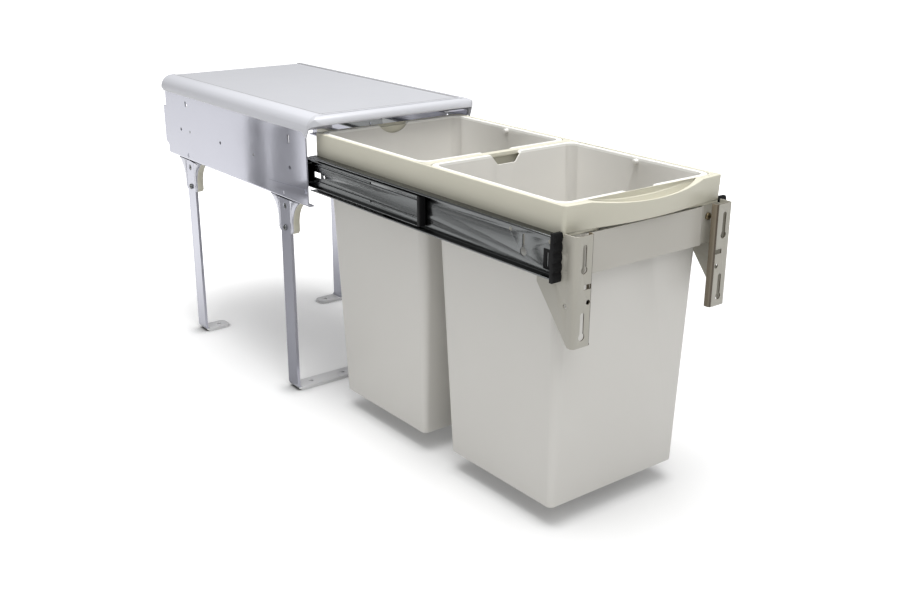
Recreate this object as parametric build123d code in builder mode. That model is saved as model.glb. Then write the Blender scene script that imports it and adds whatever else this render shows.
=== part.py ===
from build123d import *
import os

os.makedirs("parts", exist_ok=True)

# Pull-out waste bin, shown pulled out. Millimetres. X runs across, Y from the door to the back, Z up.
# The origin is on the floor, in the middle of the four floor screws.
# Every right-hand piece is modelled on the +X side and its left-hand twin is its mirror image.

# Casing sizes
casing_w = 260.0
casing_short = 22.0
rear_overhang = 77.5
front_overhang = 62.5
plate_t = 2.0
plate_h = 101.0
plate_bottom_z = 275.0
plate_bend_r = 2.0
top_flange_w = 50.0
flange_tip_l = 28.0
flange_tip_w = 10.0
bottom_lip_w = 9.0
rear_tab_out = 9.0
rear_tab_low = 19.0
rear_tab_high = 73.5
rear_step_rise = 14.0
rib_front = 3.0
rib_l = 100.0
rib_w = 6.0
rib_h = 1.2
rib_rise = 17.6
rib_tilt = 2.4
mount_hole_d = 5.0
mount_hole_front = 42.7
mount_hole_mid_back = 187.5
mount_hole_rear_back = 58.0
top_slot_l = 13.0
top_slot_w = 4.2
top_slot_front = 44.0
top_slot_drop = 19.5
bayonet_back = 79.2
bayonet_inset = 12.0
bayonet_drop = 5.5
bayonet_run = 5.3

# Lid sizes. The last number here is the cosine of 45 degrees.
lid_t = 1.5
lid_rise = 18.0
lid_shoulder_r = 18.0
lid_border_w = 24.0
lid_border_h = 1.0
lid_border_slope = 1.2
lid_skirt_h = 22.5
lid_hook_h = 29.5
lid_hook_l = 11.0
lid_hook_out = 3.7
lid_nose_out = 19.5
lid_nose_r = 13.0
lid_field_out = 3.5
lid_lip_h = 12.5
lid_corner_r = 16.0
ROOT_HALF = 0.5**0.5

# Leg and gusset sizes
leg_w = 25.0
leg_t = 4.0
leg_bend_r = 7.0
leg_inset = 1.0
foot_l = 43.0
foot_end_r = 8.0
foot_screw_in = 29.0
foot_hole_d = 6.5
stirrup_hole_x = 48.0
gusset_depth = 11.0
gusset_neck_w = 38.0
gusset_wide_w = 76.0
gusset_drop = 47.0
gusset_neck_drop = 35.0
gusset_rise = 17.0
gusset_corner_r = 4.0
gusset_fit = 0.1
peg_d = 5.8
peg_fit = 0.1
peg_rise = 7.5
peg_setback = 0.4
low_screw_drop = 40.5
high_screw_drop = 11.0
leg_screw_d = 4.0
leg_screw_l = 10.5
pan_head_d = 8.0
pan_head_h = 2.6
sunk_head_d = 8.0
sunk_depth = 0.6
recess_l = 4.6
recess_w = 1.1
recess_depth = 1.4

# Slide sizes
slide_rise = 44.5
slide_l = 450.0
slide_h = 45.0
slide_w = 12.7
slide_t = 1.2
slide_bend_r = 1.2
travel_short = 20.0
intermediate_share = 0.5
outer_cage_share = 0.75
inner_cage_share = 0.25
channel_rear_gap = 2.5
channel_lip_h = 2.2
channel_side_gap = 0.6
ball_d = 3.0
ball_fit = 0.3
web_gap = 1.0
intermediate_short = 25.0
intermediate_side_gap = 2.0
intermediate_joggle = 0.6
intermediate_band_h = 18.0
casing_slide_rear = 5.0
casing_slide_front = 3.0
member_gap = 0.4
cage_t = 0.4
cage_l = 110.0
cage_tip_gap = 0.5
ball_gap = 11.0
ball_count = 8
ball_pocket_fit = 0.1
bumper_l = 5.0
bumper_gap = 0.3
window_l = 16.0
window_h = 7.0
window_drop = 2.0
window_setback = 0.5
ring_hole_d = 4.5
ring_hole_back = 24.0
index_hole_d = 3.0
index_hole_out = 103.5
index_hole_z = 11.0
stop_tab_out = 130.0
stop_tab_l = 3.0
stop_tab_h = 1.0
keyhole_out = 51.0
keyhole_d = 9.0
keyhole_low = 7.5
keyhole_slot_w = 3.0
keyhole_slot_l = 14.0
slide_rivet_d = 4.0
slide_rivet_front = 141.6
slide_rivet_back = 88.6
slide_rivet_head_d = 7.0
slide_rivet_head_h = 1.0

# Carriage sizes
cap_l = 5.5
cap_over = 2.75
cap_side_gap = 0.6
cap_lobes = 5
cap_lobe_depth = 1.5
cap_tongue_l = 20.0
cap_tongue_h = 21.0
cap_tongue_t = 0.7
cap_tongue_low = 6.5
cap_slit_w = 1.6
cap_slit_l = 9.0
frame_t = 1.5
frame_bend_r = 2.0
side_rail_h = 18.8
side_rail_rear_gap = 20.0
bracket_w = 25.0
bracket_bend_r = 4.0
bracket_reach = 24.0
bracket_drop = 91.5
bracket_rise = 24.0
bracket_top_l = 17.0
bracket_flange_l = 55.0
bracket_step_drop = 33.5
bracket_return_l = 8.0
bracket_lip_l = 7.0
bracket_key_slot_w = 5.0
bracket_key_d = 8.0
bracket_key_l = 25.5
bracket_key_rise = 14.8
bracket_key_drop = 54.7
bracket_key_in = 12.0
bracket_slot_l = 9.5
bracket_slot_h = 5.0
bracket_slot_in = 17.5
bracket_slot_drop = 28.7
bracket_hole_d = 5.0
bracket_hole_in = 19.1
bracket_hole_drop = 44.9
bracket_side_hole_back = 13.0
bracket_side_hole_drop = 49.1
rail_drop = 23.5
rail_setback = 7.5
rail_tab_w = 22.0
rail_joggle_l = 4.0
rail_joggle = 3.0
rail_flange_l = 13.0
rail_rivet_low = 13.5
rail_rivet_high = 4.1
rear_rail_h = 14.0
rear_rail_wrap = 40.0
rivet_d = 4.0
rivet_head_d = 7.0
rivet_head_h = 1.2
bracket_rivet_back = 12.0
channel_rivet_rise = 12.0
side_rivet_end = 40.0
rear_rivet_front = 31.0
surround_screw_in = 13.6
surround_screw_rise = 6.5
surround_lug_w = 10.0
surround_lug_t = 4.0
surround_lug_drop = 19.0
surround_lug_rise = 1.2
surround_screw_l = 5.0
screw_fit = 0.05

# Surround and bucket sizes
surround_rise = 19.3
surround_h = 31.6
surround_wall = 2.0
surround_fit = 0.1
surround_front_out = 0.1
surround_rear_out = 3.1
seat_wall = 4.6
seat_gap = 8.8
surround_corner_r = 4.0
surround_ledge_t = 2.0
ledge_fit = 1.0
divider_wall = 2.0
grip_end_in = 34.2
grip_land = 2.0
grip_dip = 6.5
grip_depth = 22.0
grip_slope = 6.0
front_relief = 3.7
front_corner_out = 4.9
front_lean = 1.5
top_shoulder = 3.0
top_bulge = 12.3
low_shoulder = 1.3
low_bulge = 7.5
bucket_set_down = 0.4
bucket_bottom_z = 24.5
bucket_side_draft = 8.7
bucket_front_draft = 11.0
bucket_rear_draft = 23.5
bucket_wall = 1.5
bucket_corner_r = 13.0
bucket_base_r = 7.0
bucket_rim_w = 4.0
bucket_rim_t = 3.0
bucket_fit = 0.6
notch_w = 46.0
notch_bottom_w = 26.0
notch_depth = 12.0
peg_out = 5.0
bucket_peg_d = 6.0
bucket_peg_drop = 5.0
bucket_peg_back = 102.0

# Places worked out from the sizes
casing_l = slide_l - casing_short
leg_pitch = casing_l - front_overhang - rear_overhang
casing_front_y = -leg_pitch / 2 - front_overhang
casing_rear_y = casing_front_y + casing_l
casing_out_x = casing_w / 2
plate_in_x = casing_out_x - plate_t
plate_mid_x = casing_out_x - plate_t / 2
leg_ys = (-leg_pitch / 2, leg_pitch / 2)
leg_out_x = casing_out_x - leg_inset
leg_in_x = leg_out_x - leg_t
gusset_in_x = leg_out_x - gusset_depth
foot_screw_x = leg_out_x - foot_screw_in
lid_out_x = casing_out_x + lid_t
plate_top_z = plate_bottom_z + plate_h
rear_tab_low_z = plate_bottom_z + rear_tab_low
rear_tab_high_z = plate_bottom_z + rear_tab_high
rear_step_z = plate_bottom_z + rear_step_rise
rib_z = plate_bottom_z + rib_rise
peg_z = plate_bottom_z + peg_rise
top_slot_z = plate_top_z - top_slot_drop
bayonet_top_z = plate_top_z - bayonet_inset
bayonet_y = casing_rear_y - bayonet_back
lid_top_z = plate_top_z + lid_rise
lid_skirt_z = lid_top_z - lid_skirt_h
lid_hook_z = lid_top_z - lid_hook_h
lid_lip_z = lid_top_z - lid_lip_h
gusset_foot_z = plate_bottom_z - gusset_drop
gusset_neck_z = plate_bottom_z - gusset_neck_drop
gusset_top_z = plate_bottom_z + gusset_rise
low_screw_z = plate_bottom_z - low_screw_drop
high_screw_z = plate_bottom_z - high_screw_drop
slide_z = plate_bottom_z + slide_rise
mount_holes = [
    (casing_front_y + mount_hole_front, slide_z),
    (casing_rear_y - mount_hole_mid_back, slide_z),
    (casing_rear_y - mount_hole_rear_back, slide_z),
]
sunk_head_h = (sunk_head_d - leg_screw_d) / 2

travel = slide_l - travel_short
intermediate_l = slide_l - intermediate_short
casing_slide_l = casing_l - casing_slide_front - casing_slide_rear
web_in_x = plate_in_x - slide_w
web_out_x = web_in_x + slide_t
channel_tip_x = plate_in_x - channel_side_gap
window_z = slide_z - window_drop
channel_rear_y = casing_front_y - channel_rear_gap
channel_front_y = channel_rear_y - slide_l
cap_slit_y = channel_front_y + cap_tongue_l - cap_slit_l / 2 - cap_slit_w
inter_in_x = web_out_x + web_gap
inter_out_x = inter_in_x + slide_t
inter_tip_x = plate_in_x - intermediate_side_gap
race_gap = ball_d + 2 * ball_fit
inter_h = slide_h - 2 * slide_t - 2 * race_gap
inter_front_y = channel_front_y + intermediate_share * travel + bumper_l + bumper_gap
member_h = inter_h - 2 * slide_t - 2 * race_gap
member_web_x = plate_in_x - slide_t
member_front_y = casing_front_y + casing_slide_front
slide_rivet_ys = (casing_front_y + slide_rivet_front, casing_rear_y - slide_rivet_back)
cage_closed_y = member_front_y + casing_slide_l / 2
outer_race_h = slide_h / 2 - slide_t - race_gap / 2
inner_race_h = inter_h / 2 - slide_t - race_gap / 2
outer_cage_y = cage_closed_y - outer_cage_share * travel
inner_cage_y = cage_closed_y - inner_cage_share * travel
outer_cage_x = (web_out_x + inter_in_x) / 2
inner_cage_x = inter_out_x + web_gap + cage_t / 2
member_tip_x = inner_cage_x + cage_t / 2 + member_gap
ball_pitch = ball_d + ball_gap
cage_tip_x = inter_tip_x - cage_tip_gap
outer_ball_x = (outer_cage_x + inter_tip_x) / 2
inner_ball_x = (member_tip_x + inter_tip_x) / 2

cap_h = slide_h + 2 * cap_over
frame_out_x = web_in_x
frame_in_x = frame_out_x - frame_t
frame_mid_x = frame_out_x - frame_t / 2
flange_in_x = frame_in_x - frame_t
flange_mid_x = frame_in_x - frame_t / 2
bracket_front_y = channel_front_y - bracket_reach
bracket_edge_x = frame_out_x - bracket_w
bracket_bottom_z = slide_z - bracket_drop
bracket_top_z = slide_z + bracket_rise
bracket_step_z = slide_z - bracket_step_drop
bracket_key_x = frame_out_x - bracket_key_in
bracket_key_high_z = slide_z + bracket_key_rise
bracket_key_low_z = slide_z - bracket_key_drop
bracket_slot_x = frame_out_x - bracket_slot_in
bracket_slot_z = slide_z - bracket_slot_drop
bracket_hole_x = frame_out_x - bracket_hole_in
bracket_hole_z = slide_z - bracket_hole_drop
bracket_side_hole_z = slide_z - bracket_side_hole_drop
bracket_rear_y = bracket_front_y + bracket_flange_l
side_rail_rear_y = channel_rear_y - side_rail_rear_gap
rail_front_y = channel_front_y - rail_setback
rail_tab_y = rail_front_y + rail_joggle
rail_bottom_z = slide_z - rail_drop
surround_screw_x = flange_in_x - surround_screw_in
surround_screw_z = slide_z + surround_screw_rise
side_rail_mid_y = (bracket_rear_y + side_rail_rear_y) / 2
side_rail_l = side_rail_rear_y - bracket_rear_y

surround_bottom_z = slide_z + surround_rise
surround_top_z = surround_bottom_z + surround_h
side_rail_bottom_z = surround_bottom_z - side_rail_h
surround_out_x = frame_out_x - surround_fit
surround_in_x = surround_out_x - surround_wall
surround_front_y = channel_front_y - surround_front_out
surround_rear_y = channel_rear_y + surround_rear_out
grip_half_w = surround_out_x - grip_end_in
seat_l = (surround_rear_y - surround_front_y - 2 * surround_wall - seat_gap) / 2
rim_l = seat_l - 2 * bucket_fit
rim_out_x = surround_out_x - seat_wall - bucket_fit
bucket_w = 2 * (rim_out_x - bucket_rim_w)
bucket_l = rim_l - 2 * bucket_rim_w
bucket_base_w = bucket_w - 2 * bucket_side_draft
bucket_base_l = bucket_l - bucket_front_draft - bucket_rear_draft
bucket_pitch = seat_l + seat_gap
front_bucket_y = surround_front_y + surround_wall + seat_l / 2
bucket_ys = (front_bucket_y, front_bucket_y + bucket_pitch)
bucket_top_z = surround_top_z - bucket_set_down
bucket_peg_z = bucket_top_z - bucket_peg_drop
rim_low_z = bucket_top_z - bucket_rim_t
bracket_rivet = (channel_front_y + bracket_rivet_back, slide_z + channel_rivet_rise)
side_rivets = [
    (bracket_rear_y + side_rivet_end, slide_z + channel_rivet_rise),
    (side_rail_mid_y, slide_z + channel_rivet_rise),
    (side_rail_rear_y - side_rivet_end, slide_z + channel_rivet_rise),
]
channel_rivet_spots = [bracket_rivet, *side_rivets]
rail_rivet_y = rail_tab_y - rail_flange_l / 2
front_rivets = [(rail_rivet_y, slide_z + rail_rivet_high), (rail_rivet_y, slide_z - rail_rivet_low)]
rear_rivet = (surround_rear_y - rear_rivet_front, surround_bottom_z - rear_rail_h / 2)
rail_rivet_spots = [*front_rivets, rear_rivet]
ledge_bottom_z = rim_low_z - surround_ledge_t
through = 2 * casing_w


def finish(piece, name):
    """Label one finished piece and write it."""
    piece.part.label = name
    export_step(piece.part, f"parts/{name}.step")


def finish_pair(right_piece, name):
    """Write a right-hand piece and its mirror image as the left-hand one."""
    finish(right_piece, f"right_{name}")
    with BuildPart() as left_piece:
        mirror(right_piece.part, about=Plane.YZ)
    finish(left_piece, f"left_{name}")


# Side plates: folded sheet with a wide top flange, a narrow bottom lip and an embossed rib.
with BuildPart() as right_side_plate:
    with BuildSketch(Plane.XZ.offset(-casing_front_y)):
        with BuildLine():
            FilletPolyline(
                (casing_out_x - top_flange_w, plate_top_z - plate_t / 2),
                (plate_mid_x, plate_top_z - plate_t / 2),
                (plate_mid_x, plate_bottom_z + plate_t / 2),
                (casing_out_x - bottom_lip_w, plate_bottom_z + plate_t / 2),
                radius=plate_bend_r,
            )
        trace(line_width=plate_t)
    extrude(amount=-casing_l)
    with BuildSketch(Plane.YZ):
        with BuildLine():
            Polyline(
                (casing_front_y, plate_bottom_z),
                (casing_rear_y - rear_tab_out, plate_bottom_z),
                (casing_rear_y - rear_tab_out, rear_step_z),
                (casing_rear_y, rear_tab_low_z),
                (casing_rear_y, rear_tab_high_z),
                (casing_rear_y - rear_tab_out, rear_tab_high_z),
                (casing_rear_y - rear_tab_out, plate_top_z),
                (casing_front_y, plate_top_z),
                close=True,
            )
        make_face()
    extrude(amount=casing_w, mode=Mode.INTERSECT)
    with BuildSketch(Plane.XY.offset(plate_top_z)):
        with BuildLine():
            Polyline(
                (casing_out_x - top_flange_w, casing_front_y + flange_tip_l),
                (casing_out_x - top_flange_w, casing_front_y),
                (casing_out_x - top_flange_w + flange_tip_w, casing_front_y),
                close=True,
            )
        make_face()
    extrude(amount=-2 * plate_t, mode=Mode.SUBTRACT)
    with BuildSketch(Plane.YZ.offset(casing_out_x - plate_t / 2)):
        with Locations((casing_front_y + rib_front + rib_l / 2, rib_z)):
            SlotOverall(rib_l, rib_w, rotation=-rib_tilt)
    extrude(amount=plate_t / 2 + rib_h)
    with BuildSketch(Plane.YZ.offset(plate_in_x)):
        with Locations((casing_front_y + rib_front + rib_l / 2, rib_z)):
            SlotOverall(rib_l - 2 * rib_h, rib_w - 2 * rib_h, rotation=-rib_tilt)
    extrude(amount=rib_h, mode=Mode.SUBTRACT)
    with BuildSketch(Plane.YZ):
        with Locations(mount_holes):
            Circle(mount_hole_d / 2)
        with Locations([(y, peg_z) for y in leg_ys]):
            Circle(peg_d / 2 + peg_fit)
        with Locations([(y, slide_z) for y in slide_rivet_ys]):
            Circle(slide_rivet_d / 2)
        with Locations((casing_front_y + top_slot_front, top_slot_z)):
            SlotOverall(top_slot_l, top_slot_w, rotation=90)
    extrude(amount=through, mode=Mode.SUBTRACT)
    with BuildSketch(Plane.YZ):
        with BuildLine():
            Polyline(
                (bayonet_y, bayonet_top_z),
                (bayonet_y, bayonet_top_z - bayonet_drop),
                (bayonet_y - bayonet_run, bayonet_top_z - bayonet_drop),
            )
        trace(line_width=top_slot_w)
    extrude(amount=through, mode=Mode.SUBTRACT)
    with Locations([(gusset_in_x, y, plate_bottom_z) for y in leg_ys]):
        Box(
            2 * (plate_in_x - gusset_in_x),
            gusset_wide_w + 2 * gusset_fit,
            4 * plate_t,
            mode=Mode.SUBTRACT,
        )
finish_pair(right_side_plate, "side_plate")


def lid_block(inset):
    """The lid's outer form, or with an inset of the sheet's thickness the space under it."""
    side_x = lid_out_x - inset
    top_z = lid_top_z - inset
    field_z = top_z - lid_border_h
    border_x = lid_out_x - lid_border_w
    nose_y = casing_front_y - lid_nose_out
    front_y = nose_y + inset
    field_y = casing_front_y - lid_field_out
    with BuildPart(mode=Mode.PRIVATE) as block:
        with BuildSketch(Plane.XZ.offset(-front_y)):
            with BuildLine():
                Line((side_x, lid_hook_z), (side_x, lid_top_z - lid_shoulder_r))
                RadiusArc(
                    (side_x, lid_top_z - lid_shoulder_r),
                    (lid_out_x - lid_shoulder_r, top_z),
                    -(lid_shoulder_r - inset),
                )
                Polyline(
                    (lid_out_x - lid_shoulder_r, top_z),
                    (border_x + lid_border_slope, top_z),
                    (border_x, field_z),
                    (0, field_z),
                    (0, lid_hook_z),
                    (side_x, lid_hook_z),
                )
            make_face()
            mirror(about=Plane.YZ)
        extrude(amount=-(casing_rear_y - front_y))
        with Locations((0, front_y, field_z)):
            Box(
                2 * border_x,
                field_y - front_y,
                lid_border_h,
                align=(Align.CENTER, Align.MIN, Align.MIN),
            )
        with BuildSketch(Plane.YZ):
            with BuildLine():
                ThreePointArc(
                    (front_y, lid_top_z - lid_nose_r),
                    (
                        nose_y + lid_nose_r - (lid_nose_r - inset) * ROOT_HALF,
                        lid_top_z - lid_nose_r + (lid_nose_r - inset) * ROOT_HALF,
                    ),
                    (nose_y + lid_nose_r, top_z),
                )
                Polyline(
                    (nose_y + lid_nose_r, top_z),
                    (casing_rear_y, top_z),
                    (casing_rear_y, lid_hook_z),
                    (front_y, lid_hook_z),
                    (front_y, lid_top_z - lid_nose_r),
                )
            make_face()
        extrude(amount=through, both=True, mode=Mode.INTERSECT)
        with BuildSketch(Plane.XY.offset(lid_hook_z)) as plan:
            with Locations((0, casing_rear_y)):
                Rectangle(2 * side_x, casing_rear_y - front_y, align=(Align.CENTER, Align.MAX))
            fillet(plan.vertices().group_by(Axis.Y)[0], radius=lid_corner_r - inset)
        extrude(amount=lid_top_z - lid_hook_z, mode=Mode.INTERSECT)
    return block.part


# Lid: one pressed sheet over both side plates. Its skirts lie against the plates' outsides.
lid_outer = lid_block(0)
lid_inner = lid_block(lid_t)
with BuildPart() as lid:
    add(lid_outer)
    add(lid_inner, mode=Mode.SUBTRACT)
    with BuildSketch(Plane.YZ):
        with BuildLine():
            Polyline(
                (casing_front_y - lid_nose_out, lid_lip_z),
                (casing_front_y - lid_nose_out / 2, lid_lip_z - 2 * lid_t),
                (casing_front_y - lid_hook_out, lid_hook_z),
                (casing_front_y - lid_hook_out + lid_hook_l, lid_skirt_z),
                (casing_rear_y - rear_tab_out, lid_skirt_z),
                (casing_rear_y, lid_top_z - lid_shoulder_r),
                (casing_rear_y, lid_top_z),
                (casing_front_y - lid_nose_out, lid_top_z),
                close=True,
            )
        make_face()
    extrude(amount=through, both=True, mode=Mode.INTERSECT)
finish(lid, "lid")

# Front stirrup: one flat bar, bent to a U, that is both front legs and the floor bar between them.
leg_top_z = plate_bottom_z - peg_setback
with BuildPart() as front_stirrup:
    with BuildSketch(Plane.XZ.offset(-leg_ys[0] + leg_w / 2)):
        with BuildLine():
            FilletPolyline(
                (-leg_in_x - leg_t / 2, leg_top_z),
                (-leg_in_x - leg_t / 2, leg_t / 2),
                (leg_in_x + leg_t / 2, leg_t / 2),
                (leg_in_x + leg_t / 2, leg_top_z),
                radius=leg_bend_r,
            )
        trace(line_width=leg_t)
    extrude(amount=-leg_w)
    with BuildSketch(Plane.XY):
        with Locations(
            (-foot_screw_x, leg_ys[0]),
            (-stirrup_hole_x, leg_ys[0]),
            (stirrup_hole_x, leg_ys[0]),
            (foot_screw_x, leg_ys[0]),
        ):
            Circle(foot_hole_d / 2)
    extrude(amount=leg_t, mode=Mode.SUBTRACT)
    with BuildSketch(Plane.YZ):
        with Locations((leg_ys[0], low_screw_z), (leg_ys[0], high_screw_z)):
            Circle(leg_screw_d / 2 + screw_fit)
    extrude(amount=through, both=True, mode=Mode.SUBTRACT)
    with Locations(
        Location((leg_out_x, leg_ys[0], high_screw_z), (0, 90, 0)),
        Location((-leg_out_x, leg_ys[0], high_screw_z), (0, -90, 0)),
    ):
        CounterSinkHole(
            radius=leg_screw_d / 2 + screw_fit,
            counter_sink_radius=sunk_head_d / 2 + sunk_depth,
            depth=leg_t,
            counter_sink_angle=90,
        )
finish(front_stirrup, "front_stirrup")

# Rear legs: the same flat bar with a short foot bent inwards, its end rounded.
foot_tip_x = leg_out_x - foot_l
with BuildPart() as right_rear_leg:
    with BuildSketch(Plane.XZ.offset(-leg_ys[1] + leg_w / 2)):
        with BuildLine():
            FilletPolyline(
                (foot_tip_x, leg_t / 2),
                (leg_in_x + leg_t / 2, leg_t / 2),
                (leg_in_x + leg_t / 2, leg_top_z),
                radius=leg_bend_r,
            )
        trace(line_width=leg_t)
    extrude(amount=-leg_w)
    fillet(
        right_rear_leg.edges().filter_by(Axis.Z).group_by(Axis.X)[0],
        radius=foot_end_r,
    )
    with BuildSketch(Plane.XY):
        with Locations((foot_screw_x, leg_ys[1])):
            Circle(foot_hole_d / 2)
    extrude(amount=leg_t, mode=Mode.SUBTRACT)
    with BuildSketch(Plane.YZ):
        with Locations((leg_ys[1], low_screw_z)):
            Circle(leg_screw_d / 2 + screw_fit)
    extrude(amount=through, mode=Mode.SUBTRACT)
    with Locations(Location((leg_out_x, leg_ys[1], high_screw_z), (0, 90, 0))):
        CounterSinkHole(
            radius=leg_screw_d / 2 + screw_fit,
            counter_sink_radius=sunk_head_d / 2 + sunk_depth,
            depth=leg_t,
            counter_sink_angle=90,
        )
finish_pair(right_rear_leg, "rear_leg")


# Gussets: plastic blocks. Each holds a leg bar in its outer groove, carries the plate's lower edge on
# its shoulders and snaps a peg into the plate's hole.
for leg_y, end in zip(leg_ys, ("front", "rear")):
    with BuildPart() as right_gusset:
        with BuildSketch(Plane.YZ.offset(gusset_in_x)):
            with BuildLine():
                Polyline(
                    (leg_y - gusset_wide_w / 2, plate_bottom_z),
                    (leg_y - gusset_wide_w / 2, gusset_top_z),
                    (leg_y + gusset_wide_w / 2, gusset_top_z),
                    (leg_y + gusset_wide_w / 2, plate_bottom_z),
                )
                RadiusArc(
                    (leg_y + gusset_wide_w / 2, plate_bottom_z),
                    (leg_y + gusset_neck_w / 2, gusset_neck_z),
                    -gusset_wide_w / 2,
                )
                Polyline(
                    (leg_y + gusset_neck_w / 2, gusset_neck_z),
                    (leg_y + gusset_neck_w / 2, gusset_foot_z + gusset_corner_r),
                    (leg_y + gusset_neck_w / 2 - gusset_corner_r, gusset_foot_z),
                    (leg_y - gusset_neck_w / 2 + gusset_corner_r, gusset_foot_z),
                    (leg_y - gusset_neck_w / 2, gusset_foot_z + gusset_corner_r),
                    (leg_y - gusset_neck_w / 2, gusset_neck_z),
                )
                RadiusArc(
                    (leg_y - gusset_neck_w / 2, gusset_neck_z),
                    (leg_y - gusset_wide_w / 2, plate_bottom_z),
                    -gusset_wide_w / 2,
                )
            make_face()
        extrude(amount=gusset_depth)
        with BuildSketch(Plane.YZ.offset(plate_in_x)):
            with Locations((leg_y, plate_bottom_z)):
                Rectangle(through, through, align=(Align.CENTER, Align.MIN))
        extrude(amount=gusset_depth, mode=Mode.SUBTRACT)
        with BuildSketch(Plane.YZ.offset(leg_in_x)):
            with Locations((leg_y, 0)):
                Rectangle(
                    leg_w + 2 * gusset_fit,
                    leg_top_z + gusset_fit,
                    align=(Align.CENTER, Align.MIN),
                )
        extrude(amount=gusset_depth, mode=Mode.SUBTRACT)
        with BuildSketch(Plane.YZ.offset(plate_in_x)):
            with Locations((leg_y, peg_z)):
                Circle(peg_d / 2)
        extrude(amount=plate_t - peg_setback)
        with BuildSketch(Plane.YZ.offset(leg_in_x)):
            with Locations((leg_y, low_screw_z), (leg_y, high_screw_z)):
                Circle(leg_screw_d / 2 + screw_fit)
        extrude(amount=-(leg_screw_l - leg_t + screw_fit), mode=Mode.SUBTRACT)
    finish_pair(right_gusset, f"{end}_gusset")

# Leg screws: pan heads below, countersunk heads above, each with a cross recess.
with BuildPart() as leg_screws:
    with BuildSketch(Plane.YZ.offset(leg_out_x)):
        with Locations([(y, low_screw_z) for y in leg_ys]):
            Circle(pan_head_d / 2)
    extrude(amount=pan_head_h)
    fillet(leg_screws.edges().group_by(Axis.X)[-1], radius=pan_head_h / 2)
    with BuildSketch(Plane.YZ.offset(leg_out_x)):
        with Locations([(y, low_screw_z) for y in leg_ys]):
            Circle(leg_screw_d / 2)
    extrude(amount=-leg_screw_l)
    with BuildSketch(Plane.YZ.offset(leg_out_x + pan_head_h)):
        with Locations([(y, low_screw_z) for y in leg_ys]):
            Rectangle(recess_l, recess_w)
            Rectangle(recess_w, recess_l)
    extrude(amount=-recess_depth, mode=Mode.SUBTRACT)
    mirror(about=Plane.YZ)
finish(leg_screws, "leg_screws")

sunk_face_x = leg_out_x - sunk_depth
with BuildPart() as sunk_screws:
    with BuildSketch(Plane.YZ.offset(sunk_face_x)):
        with Locations([(y, high_screw_z) for y in leg_ys]):
            Circle(leg_screw_d / 2)
    extrude(amount=-(leg_screw_l - sunk_depth))
    with Locations(
        [Location((sunk_face_x - sunk_head_h / 2, y, high_screw_z), (0, 90, 0)) for y in leg_ys]
    ):
        Cone(leg_screw_d / 2, sunk_head_d / 2 - screw_fit, sunk_head_h)
    with BuildSketch(Plane.YZ.offset(sunk_face_x)):
        with Locations([(y, high_screw_z) for y in leg_ys]):
            Rectangle(recess_l, recess_w)
            Rectangle(recess_w, recess_l)
    extrude(amount=-recess_depth, mode=Mode.SUBTRACT)
    mirror(about=Plane.YZ)
finish(sunk_screws, "countersunk_screws")

# Casing slides: the smallest members, riveted inside the plates and open to the inside.
with BuildPart() as right_casing_slide:
    with BuildSketch(Plane.XZ.offset(-member_front_y)):
        with BuildLine():
            FilletPolyline(
                (member_tip_x, slide_z + member_h / 2 - slide_t / 2),
                (member_web_x + slide_t / 2, slide_z + member_h / 2 - slide_t / 2),
                (member_web_x + slide_t / 2, slide_z - member_h / 2 + slide_t / 2),
                (member_tip_x, slide_z - member_h / 2 + slide_t / 2),
                radius=slide_bend_r,
            )
        trace(line_width=slide_t)
    extrude(amount=-casing_slide_l)
    with BuildSketch(Plane.YZ):
        with Locations(mount_holes):
            Circle(mount_hole_d / 2)
        with Locations([(y, slide_z) for y in slide_rivet_ys]):
            Circle(slide_rivet_d / 2)
    extrude(amount=through, mode=Mode.SUBTRACT)
finish_pair(right_casing_slide, "casing_slide")

# Slide rivets: a flat head inside the member and a shank that ends flush with the plate's outside.
with BuildPart() as slide_rivets:
    with BuildSketch(Plane.YZ.offset(member_web_x)):
        with Locations([(y, slide_z) for y in slide_rivet_ys]):
            Circle(slide_rivet_d / 2)
    extrude(amount=slide_t + plate_t)
    with BuildSketch(Plane.YZ.offset(member_web_x)):
        with Locations([(y, slide_z) for y in slide_rivet_ys]):
            Circle(slide_rivet_head_d / 2)
    extrude(amount=-slide_rivet_head_h)
    mirror(about=Plane.YZ)
finish(slide_rivets, "slide_rivets")

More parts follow.
